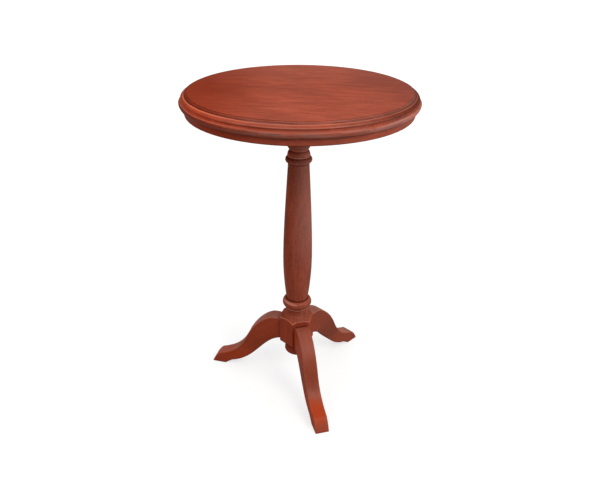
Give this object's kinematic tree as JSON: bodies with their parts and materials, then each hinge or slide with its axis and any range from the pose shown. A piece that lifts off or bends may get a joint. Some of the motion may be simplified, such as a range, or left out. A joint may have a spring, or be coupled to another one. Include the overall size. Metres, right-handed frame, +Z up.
{
  "type": "wine table",
  "caption": "Small round pedestal side table: moulded top edge over a shallow apron ring, turned column, faceted block and splayed cabriole legs, in red-brown stained wood.",
  "frame": {"origin": "on the floor, under the column axis", "axes": "+Z up along the column, -Y along the front leg"},
  "size_m": [0.45, 0.45, 0.675],
  "materials": {
    "top_wood": "satin stained mahogany with fine straight grain",
    "apron_wood": "satin stained mahogany",
    "column_wood": "satin stained mahogany, turned, grain along the axis",
    "leg_wood": "satin stained mahogany with worn edges",
    "inner_wood": "bare sawn hardwood",
    "screw_steel": "dull zinc"
  },
  "bodies": {
    "root": {"apron_screws": "screw_steel", "apron_segment_1": "apron_wood", "apron_segment_2": "apron_wood", "apron_segment_3": "apron_wood", "apron_segment_4": "apron_wood", "apron_segment_5": "apron_wood", "apron_segment_6": "apron_wood", "base_drop": "column_wood", "bearer": "inner_wood", "bearer_screws": "screw_steel", "column": "column_wood", "leg_1": "leg_wood", "leg_2": "leg_wood", "leg_3": "leg_wood", "tenon_wedge": "inner_wood", "top_board_1": "top_wood", "top_board_2": "top_wood", "top_board_3": "top_wood", "top_board_4": "top_wood", "top_board_5": "top_wood", "top_tongue_1": "inner_wood", "top_tongue_2": "inner_wood", "top_tongue_3": "inner_wood", "top_tongue_4": "inner_wood"}
  },
  "joints": []
}
